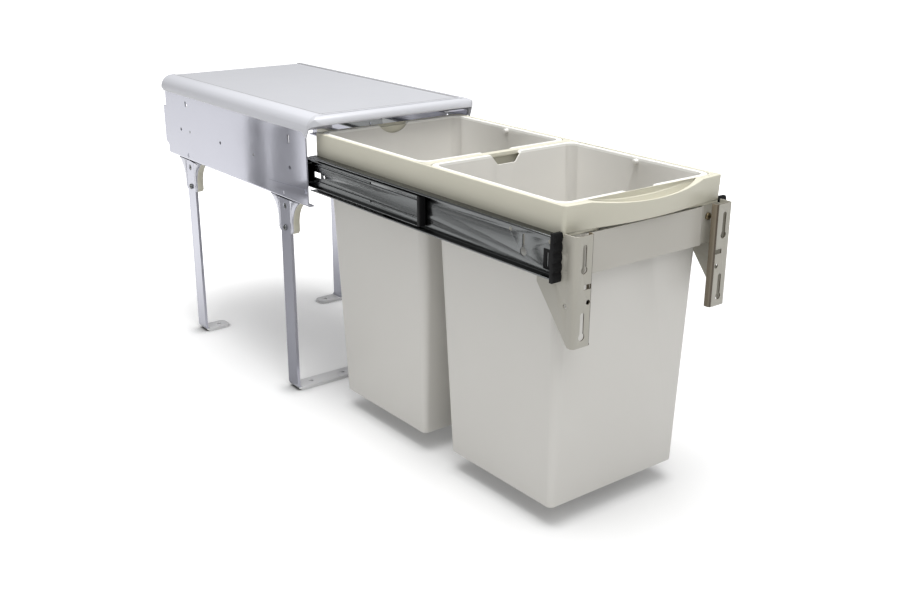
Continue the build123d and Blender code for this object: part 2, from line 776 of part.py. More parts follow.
# Channels: the largest members, open to the outside, with hooked lips, stop tabs and cut-outs.
with BuildPart() as right_channel:
    with BuildSketch(Plane.XZ.offset(-channel_front_y)):
        with BuildLine():
            FilletPolyline(
                (channel_tip_x - slide_t / 2, slide_z + slide_h / 2 - channel_lip_h),
                (channel_tip_x - slide_t / 2, slide_z + slide_h / 2 - slide_t / 2),
                (web_in_x + slide_t / 2, slide_z + slide_h / 2 - slide_t / 2),
                (web_in_x + slide_t / 2, slide_z - slide_h / 2 + slide_t / 2),
                (channel_tip_x - slide_t / 2, slide_z - slide_h / 2 + slide_t / 2),
                (channel_tip_x - slide_t / 2, slide_z - slide_h / 2 + channel_lip_h),
                radius=slide_bend_r,
            )
        trace(line_width=slide_t)
    extrude(amount=-slide_l)
    with BuildSketch(Plane.YZ):
        with Locations((channel_rear_y, window_z)):
            Rectangle(2 * window_l + 2 * ring_hole_d, window_h + 2 * slide_t)
        with Locations((channel_front_y + keyhole_out, slide_z - keyhole_low)):
            Circle(keyhole_d / 2)
            Rectangle(keyhole_slot_w, keyhole_slot_l + keyhole_d / 2, align=(Align.CENTER, Align.MIN))
        with Locations(channel_rivet_spots):
            Circle(rivet_d / 2)
    extrude(amount=web_out_x + slide_t / 2, mode=Mode.SUBTRACT)
    stop_z = slide_h / 2 - slide_t - stop_tab_h / 2
    stop_x = (web_out_x + channel_tip_x) / 2
    stop_y = channel_front_y + stop_tab_out
    with Locations((stop_x, stop_y, slide_z + stop_z), (stop_x, stop_y, slide_z - stop_z)):
        Box((channel_tip_x - web_out_x) / 2, stop_tab_l, stop_tab_h)
finish_pair(right_channel, "channel")

# Intermediate members: they run in the channels on balls and carry a bumper on their front ends.
band_h = intermediate_band_h / 2
with BuildPart() as right_intermediate:
    with BuildSketch(Plane.XZ.offset(-inter_front_y)):
        with BuildLine():
            FilletPolyline(
                (inter_tip_x, slide_z + inter_h / 2 - slide_t / 2),
                (inter_in_x + slide_t / 2, slide_z + inter_h / 2 - slide_t / 2),
                (inter_in_x + slide_t / 2, slide_z + band_h + slide_t),
                (inter_in_x + slide_t / 2 + intermediate_joggle, slide_z + band_h),
                (inter_in_x + slide_t / 2 + intermediate_joggle, slide_z - band_h),
                (inter_in_x + slide_t / 2, slide_z - band_h - slide_t),
                (inter_in_x + slide_t / 2, slide_z - inter_h / 2 + slide_t / 2),
                (inter_tip_x, slide_z - inter_h / 2 + slide_t / 2),
                radius=slide_t / 2,
            )
        trace(line_width=slide_t)
    extrude(amount=-intermediate_l)
    with BuildSketch(Plane.YZ):
        with Locations((casing_front_y - window_l / 2 - window_setback, window_z)):
            Rectangle(window_l, window_h)
        with Locations((casing_front_y - ring_hole_back, window_z)):
            Circle(ring_hole_d / 2)
        with Locations(
            (inter_front_y + index_hole_out, slide_z + index_hole_z),
            (inter_front_y + index_hole_out, slide_z - index_hole_z),
        ):
            Circle(index_hole_d / 2)
    extrude(amount=through, mode=Mode.SUBTRACT)
finish_pair(right_intermediate, "intermediate")

# Bumpers: black plastic end pieces that meet the end caps when the bin is shut.
with BuildPart() as right_bumper:
    with BuildSketch(Plane.YZ.offset(inter_in_x)):
        with Locations((inter_front_y - bumper_l / 2, slide_z)):
            RectangleRounded(bumper_l, inter_h, slide_t)
    extrude(amount=inter_tip_x - inter_in_x)
finish_pair(right_bumper, "bumper")

# Ball cages and balls: one set between channel and intermediate member, one between that and the
# casing slide. Each cage is a thin strip, folded over both races, with a round pocket for every ball.
cage_sets = (
    ("outer", outer_cage_x, outer_cage_y, outer_race_h, outer_ball_x),
    ("inner", inner_cage_x, inner_cage_y, inner_race_h, inner_ball_x),
)
for place, cage_x, cage_y, race_h, ball_x in cage_sets:
    with BuildPart() as right_cage:
        with BuildSketch(Plane.XZ.offset(-cage_y + cage_l / 2)):
            with BuildLine():
                FilletPolyline(
                    (cage_tip_x, slide_z + race_h),
                    (cage_x, slide_z + race_h),
                    (cage_x, slide_z - race_h),
                    (cage_tip_x, slide_z - race_h),
                    radius=2 * cage_t,
                )
            trace(line_width=cage_t)
        extrude(amount=-cage_l)
        with BuildSketch(Plane.XY.offset(slide_z)):
            with Locations((ball_x, cage_y)):
                with GridLocations(0, ball_pitch, 1, ball_count):
                    Circle(ball_d / 2 + ball_pocket_fit)
        extrude(amount=slide_h, both=True, mode=Mode.SUBTRACT)
    finish_pair(right_cage, f"{place}_cage")

    with BuildPart() as right_balls:
        with Locations((ball_x, cage_y, slide_z + race_h), (ball_x, cage_y, slide_z - race_h)):
            with GridLocations(0, ball_pitch, 1, ball_count):
                Sphere(ball_d / 2)
    finish_pair(right_balls, f"{place}_balls")

# End caps: black plastic, with a lobed front and a slit tongue that clips into the channel.
lobe_h = cap_h / cap_lobes
lobe_y = channel_front_y - cap_l + cap_lobe_depth
with BuildPart() as right_end_cap:
    with BuildSketch(Plane.YZ.offset(frame_out_x)):
        with BuildLine():
            Polyline(
                (lobe_y, slide_z + cap_h / 2),
                (channel_front_y, slide_z + cap_h / 2),
                (channel_front_y, slide_z - cap_h / 2),
                (lobe_y, slide_z - cap_h / 2),
            )
            for lobe in range(cap_lobes):
                lobe_z = slide_z - cap_h / 2 + lobe * lobe_h
                ThreePointArc(
                    (lobe_y, lobe_z),
                    (lobe_y - cap_lobe_depth, lobe_z + lobe_h / 2),
                    (lobe_y, lobe_z + lobe_h),
                )
        make_face()
    extrude(amount=plate_in_x - cap_side_gap - frame_out_x)
    with BuildSketch(Plane.YZ.offset(web_out_x)):
        with Locations((channel_front_y, slide_z - cap_tongue_low)):
            Rectangle(cap_tongue_l, cap_tongue_h, align=(Align.MIN, Align.CENTER))
        with Locations((cap_slit_y, slide_z - cap_tongue_low)):
            Rectangle(cap_slit_w, cap_tongue_h - 4 * cap_slit_w, mode=Mode.SUBTRACT)
    extrude(amount=cap_tongue_t)
finish_pair(right_end_cap, "end_cap")

# Door brackets: folded steel with a front face for the door, a side flange and two keyholes.
with BuildPart() as right_door_bracket:
    with BuildSketch(Plane.XY.offset(bracket_bottom_z)):
        with BuildLine():
            FilletPolyline(
                (bracket_edge_x + frame_t / 2, bracket_front_y + bracket_return_l),
                (bracket_edge_x + frame_t / 2, bracket_front_y + frame_t / 2),
                (frame_mid_x, bracket_front_y + frame_t / 2),
                (frame_mid_x, bracket_rear_y),
                radius=bracket_bend_r - frame_t / 2,
            )
        trace(line_width=frame_t)
    extrude(amount=bracket_top_z - bracket_bottom_z)
    with BuildSketch(Plane.YZ):
        with BuildLine():
            Polyline(
                (bracket_front_y, bracket_bottom_z),
                (bracket_front_y + bracket_return_l, bracket_bottom_z),
                (bracket_rear_y, bracket_step_z),
                (bracket_rear_y, surround_bottom_z),
                (bracket_front_y + bracket_top_l, surround_bottom_z),
                (bracket_front_y + bracket_top_l, bracket_top_z),
                (bracket_front_y, bracket_top_z),
                close=True,
            )
        make_face()
    extrude(amount=through, mode=Mode.INTERSECT)
    with BuildSketch(Plane.XY.offset(bracket_bottom_z)):
        with Locations((bracket_edge_x + frame_t, bracket_front_y + frame_t / 2)):
            Rectangle(
                bracket_w - frame_t - bracket_bend_r,
                bracket_lip_l,
                align=(Align.MIN, Align.MIN),
            )
    extrude(amount=frame_t)
    with BuildSketch(Plane.XZ.offset(-bracket_front_y)):
        with Locations((bracket_key_x, bracket_key_high_z), (bracket_key_x, bracket_key_low_z)):
            SlotOverall(
                bracket_key_l,
                bracket_key_slot_w,
                rotation=90,
                align=(Align.MAX, Align.CENTER),
            )
        with Locations(
            (bracket_key_x, bracket_key_high_z - bracket_key_l),
            (bracket_key_x, bracket_key_low_z - bracket_key_l),
        ):
            Circle(bracket_key_d / 2)
        with Locations((bracket_slot_x, bracket_slot_z)):
            Rectangle(bracket_slot_l, bracket_slot_h)
        with Locations((bracket_hole_x, bracket_hole_z)):
            Circle(bracket_hole_d / 2)
    extrude(amount=-frame_t, mode=Mode.SUBTRACT)
    with BuildSketch(Plane.YZ.offset(frame_in_x)):
        with Locations((bracket_front_y + bracket_side_hole_back, bracket_side_hole_z)):
            Circle(bracket_hole_d / 2)
        with Locations([bracket_rivet, *front_rivets]):
            Circle(rivet_d / 2)
    extrude(amount=frame_t, mode=Mode.SUBTRACT)
finish_pair(right_door_bracket, "door_bracket")

# Side rails: flat strips behind the channels' webs that carry the surround.
with BuildPart() as right_side_rail:
    with BuildSketch(Plane.YZ.offset(frame_in_x)):
        with Locations((side_rail_mid_y, surround_bottom_z)):
            Rectangle(
                side_rail_l,
                surround_bottom_z - side_rail_bottom_z,
                align=(Align.CENTER, Align.MAX),
            )
        with Locations([*side_rivets, rear_rivet]):
            Circle(rivet_d / 2, mode=Mode.SUBTRACT)
    extrude(amount=frame_t)
finish_pair(right_side_rail, "side_rail")

# Front rail: a deep strip with end tabs set back by a joggle and end flanges folded forwards.
tab_in_x = flange_in_x - rail_tab_w
with BuildPart() as front_rail:
    with BuildSketch(Plane.XY.offset(rail_bottom_z)):
        with BuildLine():
            FilletPolyline(
                (-flange_mid_x, rail_tab_y - rail_flange_l),
                (-flange_mid_x, rail_tab_y + frame_t / 2),
                (-tab_in_x, rail_tab_y + frame_t / 2),
                (-tab_in_x + rail_joggle_l, rail_front_y + frame_t / 2),
                (tab_in_x - rail_joggle_l, rail_front_y + frame_t / 2),
                (tab_in_x, rail_tab_y + frame_t / 2),
                (flange_mid_x, rail_tab_y + frame_t / 2),
                (flange_mid_x, rail_tab_y - rail_flange_l),
                radius=frame_bend_r,
            )
        trace(line_width=frame_t)
    extrude(amount=surround_bottom_z - rail_bottom_z)
    with BuildSketch(Plane.XZ.offset(-rail_tab_y)):
        with Locations((-surround_screw_x, surround_screw_z), (surround_screw_x, surround_screw_z)):
            Circle(leg_screw_d / 2 + screw_fit)
    extrude(amount=-2 * frame_t, mode=Mode.SUBTRACT)
    with BuildSketch(Plane.YZ):
        with Locations(front_rivets):
            Circle(rivet_d / 2)
    extrude(amount=through, both=True, mode=Mode.SUBTRACT)
finish(front_rail, "front_rail")

# Rear rail: a shallow strip under the surround's rear wall, its ends folded along the side rails.
rear_rail_y = surround_rear_y - frame_t / 2
with BuildPart() as rear_rail:
    with BuildSketch(Plane.XY.offset(surround_bottom_z - rear_rail_h)):
        with BuildLine():
            FilletPolyline(
                (-flange_mid_x, surround_rear_y - rear_rail_wrap),
                (-flange_mid_x, rear_rail_y),
                (flange_mid_x, rear_rail_y),
                (flange_mid_x, surround_rear_y - rear_rail_wrap),
                radius=frame_bend_r,
            )
        trace(line_width=frame_t)
    extrude(amount=rear_rail_h)
    with BuildSketch(Plane.YZ):
        with Locations(rear_rivet):
            Circle(rivet_d / 2)
    extrude(amount=through, both=True, mode=Mode.SUBTRACT)
finish(rear_rail, "rear_rail")


def front_line(z):
    """The surround's front at a height: the Y of its corners, of the grip's ends and of its middle."""
    rise = (z - surround_bottom_z) / surround_h
    corner_y = surround_front_y - front_corner_out - rise * front_lean
    grip_y = corner_y - low_shoulder - rise * (top_shoulder - low_shoulder)
    middle_y = grip_y - low_bulge - rise * (top_bulge - low_bulge)
    return corner_y, grip_y, middle_y


# Surround: one ivory moulding with a seat for each bucket, a divider, a hand grip in its front and a
# block that closes off the rear notch.
grip_floor_z = surround_top_z - grip_depth
lug_y = rail_tab_y + frame_t
hollow_y = (surround_front_y + surround_rear_y) / 2
hollow_l = (surround_rear_y - surround_front_y - divider_wall) / 2 - surround_wall
with BuildPart() as surround:
    for level_z in (surround_bottom_z, surround_top_z):
        corner_y, grip_y, middle_y = front_line(level_z)
        with BuildSketch(Plane.XY.offset(level_z)) as outline:
            with BuildLine():
                Polyline(
                    (grip_half_w, grip_y),
                    (surround_out_x, corner_y),
                    (surround_out_x, surround_rear_y),
                    (-surround_out_x, surround_rear_y),
                    (-surround_out_x, corner_y),
                    (-grip_half_w, grip_y),
                )
                ThreePointArc((-grip_half_w, grip_y), (0, middle_y), (grip_half_w, grip_y))
            make_face()
            fillet(
                outline.vertices().filter_by(lambda v: abs(v.X) > surround_corner_r + grip_half_w),
                radius=surround_corner_r,
            )
    loft(ruled=True)
    with BuildSketch(Plane.XY.offset(surround_top_z)):
        with Locations([(0, y) for y in bucket_ys]):
            RectangleRounded(2 * (rim_out_x + bucket_fit), seat_l, bucket_corner_r)
    extrude(amount=rim_low_z - surround_top_z, mode=Mode.SUBTRACT)
    with BuildSketch(Plane.XY.offset(surround_top_z)):
        with Locations([(0, y) for y in bucket_ys]):
            RectangleRounded(bucket_w + 2 * ledge_fit, bucket_l + 2 * ledge_fit, bucket_corner_r)
    extrude(amount=-surround_h, mode=Mode.SUBTRACT)
    with BuildSketch(Plane.XY.offset(surround_bottom_z)):
        with Locations((0, hollow_y)):
            with GridLocations(1, hollow_l + divider_wall, 1, len(bucket_ys)):
                RectangleRounded(2 * surround_in_x, hollow_l, surround_corner_r - surround_wall)
    extrude(amount=ledge_bottom_z - surround_bottom_z, mode=Mode.SUBTRACT)
    with BuildSketch(Plane.XY.offset(rim_low_z)):
        with Locations([(0, y) for y in bucket_ys]):
            Rectangle(notch_w + 2 * ledge_fit, seat_l)
    extrude(amount=surround_bottom_z - rim_low_z, mode=Mode.SUBTRACT)
    hollows = (
        ((surround_bottom_z, 0), (grip_floor_z - surround_wall, grip_slope)),
        ((grip_floor_z, grip_slope), (surround_top_z, 0)),
    )
    for levels in hollows:
        for level_z, slope in levels:
            _, _, middle_y = front_line(level_z)
            back_y = surround_front_y - slope
            side_x = grip_half_w - grip_land
            with BuildSketch(Plane.XY.offset(level_z)):
                with BuildLine():
                    Line((side_x, back_y), (-side_x, back_y))
                    ThreePointArc((-side_x, back_y), (0, middle_y + surround_wall), (side_x, back_y))
                make_face()
        loft(ruled=True, mode=Mode.SUBTRACT)
    with BuildSketch(Plane.XZ.offset(-surround_front_y)):
        with BuildLine():
            ThreePointArc(
                (-grip_half_w, surround_top_z),
                (0, surround_top_z - grip_dip),
                (grip_half_w, surround_top_z),
            )
            Line((grip_half_w, surround_top_z), (-grip_half_w, surround_top_z))
        make_face()
    extrude(amount=bracket_reach, mode=Mode.SUBTRACT)
    with Locations((0, surround_rear_y - surround_wall / 2, rim_low_z)):
        Box(
            notch_w + 4 * ledge_fit,
            bucket_rim_w + bucket_fit + surround_wall / 2 - ledge_fit,
            notch_depth,
            align=(Align.CENTER, Align.MAX, Align.MAX),
        )
    with Locations((0, rail_tab_y, surround_bottom_z)):
        Box(
            through,
            bracket_reach,
            front_relief,
            align=(Align.CENTER, Align.MAX, Align.MIN),
            mode=Mode.SUBTRACT,
        )
    with Locations((-surround_screw_x, lug_y), (surround_screw_x, lug_y)):
        with Locations((0, 0, surround_bottom_z + surround_lug_rise)):
            Box(
                surround_lug_w,
                surround_lug_t,
                surround_lug_drop + surround_lug_rise,
                align=(Align.CENTER, Align.MIN, Align.MAX),
            )
    with BuildSketch(Plane.XZ.offset(-lug_y)):
        with Locations((-surround_screw_x, surround_screw_z), (surround_screw_x, surround_screw_z)):
            Circle(leg_screw_d / 2 + screw_fit)
    extrude(amount=-surround_lug_t, mode=Mode.SUBTRACT)
finish(surround, "surround")

# Surround screws: they pass the front rail's end tabs and end in the surround's lugs.
with BuildPart() as surround_screws:
    screw_spots = [(-surround_screw_x, surround_screw_z), (surround_screw_x, surround_screw_z)]
    with BuildSketch(Plane.XZ.offset(-rail_tab_y)):
        with Locations(screw_spots):
            Circle(pan_head_d / 2)
    extrude(amount=pan_head_h)
    fillet(surround_screws.edges().group_by(Axis.Y)[0], radius=pan_head_h / 2)
    with BuildSketch(Plane.XZ.offset(-rail_tab_y)):
        with Locations(screw_spots):
            Circle(leg_screw_d / 2)
    extrude(amount=-surround_screw_l)
    with BuildSketch(Plane.XZ.offset(-rail_tab_y + pan_head_h)):
        with Locations(screw_spots):
            Rectangle(recess_l, recess_w)
            Rectangle(recess_w, recess_l)
    extrude(amount=-recess_depth, mode=Mode.SUBTRACT)
finish(surround_screws, "surround_screws")

# Channel rivets: they hold each channel to its door bracket and its side rail, flush on the outside.
with BuildPart() as channel_rivets:
    with BuildSketch(Plane.YZ.offset(frame_in_x)):
        with Locations(channel_rivet_spots):
            Circle(rivet_d / 2)
    extrude(amount=web_out_x - frame_in_x)
    with BuildSketch(Plane.YZ.offset(frame_in_x)):
        with Locations(channel_rivet_spots):
            Circle(rivet_head_d / 2)
    extrude(amount=-rivet_head_h)
    fillet(channel_rivets.edges().group_by(Axis.X)[0], radius=rivet_head_h / 2)
    mirror(about=Plane.YZ)
finish(channel_rivets, "channel_rivets")

# Rail rivets: they hold the front rail to the door brackets and the rear rail to the side rails.
with BuildPart() as rail_rivets:
    with BuildSketch(Plane.YZ.offset(flange_in_x)):
        with Locations(rail_rivet_spots):
            Circle(rivet_d / 2)
    extrude(amount=frame_out_x - flange_in_x)
    with BuildSketch(Plane.YZ.offset(flange_in_x)):
        with Locations(rail_rivet_spots):
            Circle(rivet_head_d / 2)
    extrude(amount=-rivet_head_h)
    fillet(rail_rivets.edges().group_by(Axis.X)[0], radius=rivet_head_h / 2)
    mirror(about=Plane.YZ)
finish(rail_rivets, "rail_rivets")

# Buckets: each has drafted walls, a flat rim, hand notches and two inner pegs. Only the rear
# bucket's rear notch is rounded.
for bucket_y, end in zip(bucket_ys, ("front", "rear")):
    base_y = bucket_y - bucket_l / 2 + bucket_front_draft + bucket_base_l / 2
    with BuildPart() as bucket:
        with BuildSketch(Plane.XY.offset(bucket_bottom_z)):
            with Locations((0, base_y)):
                RectangleRounded(bucket_base_w, bucket_base_l, bucket_base_r)
        with BuildSketch(Plane.XY.offset(bucket_top_z)):
            with Locations((0, bucket_y)):
                RectangleRounded(bucket_w, bucket_l, bucket_corner_r)
        loft(ruled=True)
        with BuildSketch(Plane.XY.offset(rim_low_z)):
            with Locations((0, bucket_y)):
                RectangleRounded(2 * rim_out_x, rim_l, bucket_corner_r)
        extrude(amount=bucket_rim_t)
        with BuildSketch(Plane.XY.offset(bucket_bottom_z + bucket_wall)):
            with Locations((0, base_y)):
                RectangleRounded(
                    bucket_base_w - 2 * bucket_wall,
                    bucket_base_l - 2 * bucket_wall,
                    bucket_base_r - bucket_wall,
                )
        with BuildSketch(Plane.XY.offset(bucket_top_z)):
            with Locations((0, bucket_y)):
                RectangleRounded(
                    bucket_w - 2 * bucket_wall,
                    bucket_l - 2 * bucket_wall,
                    bucket_corner_r - bucket_wall,
                )
        loft(ruled=True, mode=Mode.SUBTRACT)
        with BuildSketch(Plane.XZ.offset(-bucket_y)):
            with BuildLine():
                Polyline(
                    (-notch_w / 2, bucket_top_z),
                    (-notch_bottom_w / 2, bucket_top_z - notch_depth),
                    (notch_bottom_w / 2, bucket_top_z - notch_depth),
                    (notch_w / 2, bucket_top_z),
                    close=True,
                )
            make_face()
        extrude(amount=rim_l, both=end == "front", mode=Mode.SUBTRACT)
        if end == "rear":
            with BuildSketch(Plane.XZ.offset(-bucket_y)):
                with BuildLine():
                    ThreePointArc(
                        (-notch_w / 2, bucket_top_z),
                        (0, bucket_top_z - notch_depth),
                        (notch_w / 2, bucket_top_z),
                    )
                    Line((notch_w / 2, bucket_top_z), (-notch_w / 2, bucket_top_z))
                make_face()
            extrude(amount=-rim_l, mode=Mode.SUBTRACT)
        peg_y = bucket_y - bucket_l / 2 + bucket_peg_back
        peg_l = peg_out + bucket_wall / 2
        peg_x = (bucket_w - bucket_wall - peg_l) / 2
        with Locations(
            Location((peg_x, peg_y, bucket_peg_z), (0, 90, 0)),
            Location((-peg_x, peg_y, bucket_peg_z), (0, 90, 0)),
        ):
            Cylinder(bucket_peg_d / 2, peg_l)
    finish(bucket, f"{end}_bucket")
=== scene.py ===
import math

import bpy
from mathutils import Matrix, Vector


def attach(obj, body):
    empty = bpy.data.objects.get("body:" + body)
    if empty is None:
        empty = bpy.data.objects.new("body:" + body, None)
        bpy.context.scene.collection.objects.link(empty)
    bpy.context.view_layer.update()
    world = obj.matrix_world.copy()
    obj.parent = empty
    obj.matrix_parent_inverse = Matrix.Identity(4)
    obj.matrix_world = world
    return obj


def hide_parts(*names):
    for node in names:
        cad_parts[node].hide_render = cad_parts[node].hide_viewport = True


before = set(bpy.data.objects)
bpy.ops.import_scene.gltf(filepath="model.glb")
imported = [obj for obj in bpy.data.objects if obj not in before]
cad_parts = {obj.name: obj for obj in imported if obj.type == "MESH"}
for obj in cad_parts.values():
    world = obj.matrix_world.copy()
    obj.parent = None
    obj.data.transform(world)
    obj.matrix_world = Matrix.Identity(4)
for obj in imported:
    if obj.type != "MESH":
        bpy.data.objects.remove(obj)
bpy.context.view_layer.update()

# Camera: it stands in front of the bin's left corner, a metre and a half from it and above its rim, and
# looks down along the drawn-out buckets.
camera_place = (-0.8283, -1.4109, 0.6394)
camera_turn = math.radians(38.01363)
camera_dip = math.radians(19.7535)
camera_roll = math.radians(0.314707)
forwards = Vector(
    (
        math.sin(camera_turn) * math.cos(camera_dip),
        math.cos(camera_turn) * math.cos(camera_dip),
        -math.sin(camera_dip),
    )
)
level = Vector((math.cos(camera_turn), -math.sin(camera_turn), 0))
upright = level.cross(forwards)
sideways = level * math.cos(camera_roll) + upright * math.sin(camera_roll)
upwards = upright * math.cos(camera_roll) - level * math.sin(camera_roll)
camera = bpy.data.objects.new("camera", bpy.data.cameras.new("camera"))
camera.data.sensor_width = 36
camera.data.sensor_fit = "HORIZONTAL"
camera.data.lens = 43.666
camera.data.clip_start = 0.05
camera.data.clip_end = 50
bpy.context.scene.collection.objects.link(camera)
camera.matrix_world = Matrix.Translation(camera_place) @ Matrix(
    (sideways, upwards, -forwards)
).transposed().to_4x4()
bpy.context.scene.camera = camera
bpy.context.scene.view_settings.view_transform = "Standard"


def pigment(red, green, blue):
    """A colour as it looks on paper, from 0 to 255, as the light it gives back."""
    shares = [value / 255 for value in (red, green, blue)]
    light = [s / 12.92 if s <= 0.04045 else ((s + 0.055) / 1.055) ** 2.4 for s in shares]
    return (*light, 1.0)


class Shade:
    """A number that varies over a surface. Arithmetic on it adds Math nodes."""

    def __init__(self, tree, socket):
        self.tree = tree
        self.socket = socket

    def sum_up(self, operation, first, second):
        math_node = self.tree.nodes.new("ShaderNodeMath")
        math_node.operation = operation
        for entry, value in zip(math_node.inputs, (first, second)):
            if isinstance(value, Shade):
                self.tree.links.new(value.socket, entry)
            else:
                entry.default_value = value
        return Shade(self.tree, math_node.outputs[0])

    def __add__(self, other):
        return self.sum_up("ADD", self, other)

    def __radd__(self, other):
        return self.sum_up("ADD", other, self)

    def __sub__(self, other):
        return self.sum_up("SUBTRACT", self, other)

    def __rsub__(self, other):
        return self.sum_up("SUBTRACT", other, self)

    def __mul__(self, other):
        return self.sum_up("MULTIPLY", self, other)

    def __rmul__(self, other):
        return self.sum_up("MULTIPLY", other, self)

    def __lt__(self, other):
        return self.sum_up("LESS_THAN", self, other)

    def __gt__(self, other):
        return self.sum_up("GREATER_THAN", self, other)


class Finish:
    """A material under way: its nodes are added one by one and end in its surface."""

    def __init__(self, name, **constants):
        self.material = bpy.data.materials.new(name)
        self.material.use_nodes = True
        self.tree = self.material.node_tree
        self.surface = self.tree.nodes["Principled BSDF"]
        for socket, value in constants.items():
            self.surface.inputs[socket.replace("_", " ").title()].default_value = value
        self.spot = self.node("ShaderNodeTexCoord", out="Object")

    def node(self, kind, settings=(), entries=(), out=0):
        """Adds one node: its settings first, then the values or links of its sockets."""
        made = self.tree.nodes.new(kind)
        for setting, value in dict(settings).items():
            setattr(made, setting, value)
        for entry, value in dict(entries).items():
            if isinstance(value, Shade):
                self.tree.links.new(value.socket, made.inputs[entry])
            else:
                made.inputs[entry].default_value = value
        return Shade(self.tree, made.outputs[out])

    def along(self, axis):
        """How far the point lies along X, Y or Z, in metres."""
        return self.node("ShaderNodeSeparateXYZ", entries={0: self.spot}, out=axis)

    def noise(self, scale, detail=2.0, stretch=(1, 1, 1), roughness=0.5):
        """Cloudy noise, around a half, with so many clouds to the metre and each axis stretched."""
        place = self.node("ShaderNodeMapping", entries={"Vector": self.spot, "Scale": stretch})
        return self.node(
            "ShaderNodeTexNoise",
            entries={"Vector": place, "Scale": scale, "Detail": detail, "Roughness": roughness},
        )

    def mix(self, share, first, second):
        """The first colour where the share is 0, the second where it is 1."""
        return self.node(
            "ShaderNodeMix",
            {"data_type": "RGBA"},
            {0: share, 6: first, 7: second},
            out=2,
        )

    def feed(self, socket, shade):
        self.tree.links.new(shade.socket, self.surface.inputs[socket])

    def bump(self, height, depth):
        """Raises the surface by the height, which is a share of the depth in metres."""
        entries = {"Height": height, "Distance": depth, "Strength": 1.0}
        self.feed("Normal", self.node("ShaderNodeBump", entries=entries))


# Ground: a wide pale sheet that the legs stand on. Near the bin it keeps the soft shadows of the buckets
# and feet, with painted shade added where something hangs or stands close over it, and further out it fades
# to the white of the backdrop.
ground_size = 30
ground_colour = pigment(226, 226, 226)
painted_contact_shade = pigment(40, 40, 39)
contact_reach = 0.028
ground_lift = 0.25
fade_centre = (0.05, -0.5, 0)
fade_start = 0.48
fade_end = 1.35
bpy.ops.object.select_all(action="DESELECT")
bpy.ops.mesh.primitive_plane_add(size=ground_size, location=(0, 0, 0))
ground = bpy.context.object
ground.name = "ground"
paper = Finish("ground_paper", roughness=1.0)
paper.surface.inputs["Specular IOR Level"].default_value = 0.0
reach = paper.node(
    "ShaderNodeVectorMath",
    {"operation": "DISTANCE"},
    {0: paper.spot, 1: fade_centre},
    out="Value",
)
fade = paper.node(
    "ShaderNodeMapRange",
    {"interpolation_type": "SMOOTHSTEP"},
    {
        "Value": reach,
        "From Min": fade_start,
        "From Max": fade_end,
        "To Min": ground_lift,
        "To Max": 1.0,
    },
)
# Painted shade: where ambient occlusion finds something close over the ground, its colour darkens towards
# near black and its glow dims.
open_air = paper.node("ShaderNodeAmbientOcclusion", {"samples": 8}, {"Distance": contact_reach}, out="AO")
paper.feed("Base Color", paper.mix(open_air, painted_contact_shade, ground_colour))
lift = fade * open_air * open_air
paper.feed("Emission Color", paper.mix(lift, (0, 0, 0, 1), (1, 1, 1, 1)))
camera_ray = paper.node("ShaderNodeLightPath", out="Is Camera Ray")
glossy_ray = paper.node("ShaderNodeLightPath", out="Is Glossy Ray")
paper.feed("Emission Strength", camera_ray + glossy_ray)
ground.data.materials.append(paper.material)

# Light: an even white sky, a large soft lamp above the bin, which shines down into the buckets, and a
# weaker one in front of its left corner.
sky_light = 0.36
lamp_aim = Vector((0, -0.3, 0.2))
sky = bpy.data.worlds.new("sky")
sky.use_nodes = True
bpy.context.scene.world = sky
sky_nodes = sky.node_tree.nodes
sky_links = sky.node_tree.links
sky_path = sky_nodes.new("ShaderNodeLightPath")
sky_strength = sky_nodes.new("ShaderNodeMix")
sky_strength.inputs[2].default_value = sky_light
sky_strength.inputs[3].default_value = 1.0
sky_links.new(sky_path.outputs["Is Camera Ray"], sky_strength.inputs[0])
sky_links.new(sky_strength.outputs[0], sky_nodes["Background"].inputs["Strength"])
sky_nodes["Background"].inputs["Color"].default_value = (1, 1, 1, 1)
for lamp_name, place, size, watts in (
    ("ceiling_softbox", (-0.1, -0.45, 2.3), 1.4, 51),
    ("corner_softbox", (-0.6, -1.9, 1.9), 1.2, 12),
):
    lamp = bpy.data.objects.new(lamp_name, bpy.data.lights.new(lamp_name, "AREA"))
    lamp.data.size = size
    lamp.data.energy = watts
    lamp.location = place
    lamp.rotation_mode = "QUATERNION"
    lamp.rotation_quaternion = (lamp_aim - Vector(place)).to_track_quat("-Z", "Y")
    bpy.context.scene.collection.objects.link(lamp)

# Flags: dark cards just over the ground beside the bin that only its glossy paint and bright metal see. The
# wide one makes the slides dark, and the two narrow ones make the dark bands at the casing's front end.
flag_height = 0.004
for flag_name, place, turn, spread, shade in (
    ("slide_flag", (-0.88, 0.42), 0, (0.38, 0.98), 14),
    ("band_flag", (-0.64, 0.9), 27.7, (0.047, 2.0), 90),
    ("end_flag", (-0.62, 0.73), 29.1, (0.072, 2.0), 160),
):
    bpy.ops.object.select_all(action="DESELECT")
    bpy.ops.mesh.primitive_plane_add(
        size=1, location=(*place, flag_height), rotation=(0, 0, math.radians(turn))
    )
    flag = bpy.context.object
    flag.name = flag_name
    flag.scale = (*spread, 1)
    bpy.ops.object.transform_apply(location=True, rotation=True, scale=True)
    card = Finish(flag_name, roughness=1.0)
    card.surface.inputs["Base Color"].default_value = pigment(shade, shade, shade)
    card.surface.inputs["Specular IOR Level"].default_value = 0.0
    flag.data.materials.append(card.material)
    flag.visible_camera = False
    flag.visible_diffuse = False
    flag.visible_shadow = False
    flag.visible_transmission = False


def coat(nodes, finish):
    """Gives CAD nodes a finish in place of their plain one."""
    for name in nodes:
        for material_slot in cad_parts[name].material_slots:
            material_slot.material = finish.material


weld_reach = 0.000005
level_reach = 0.00005


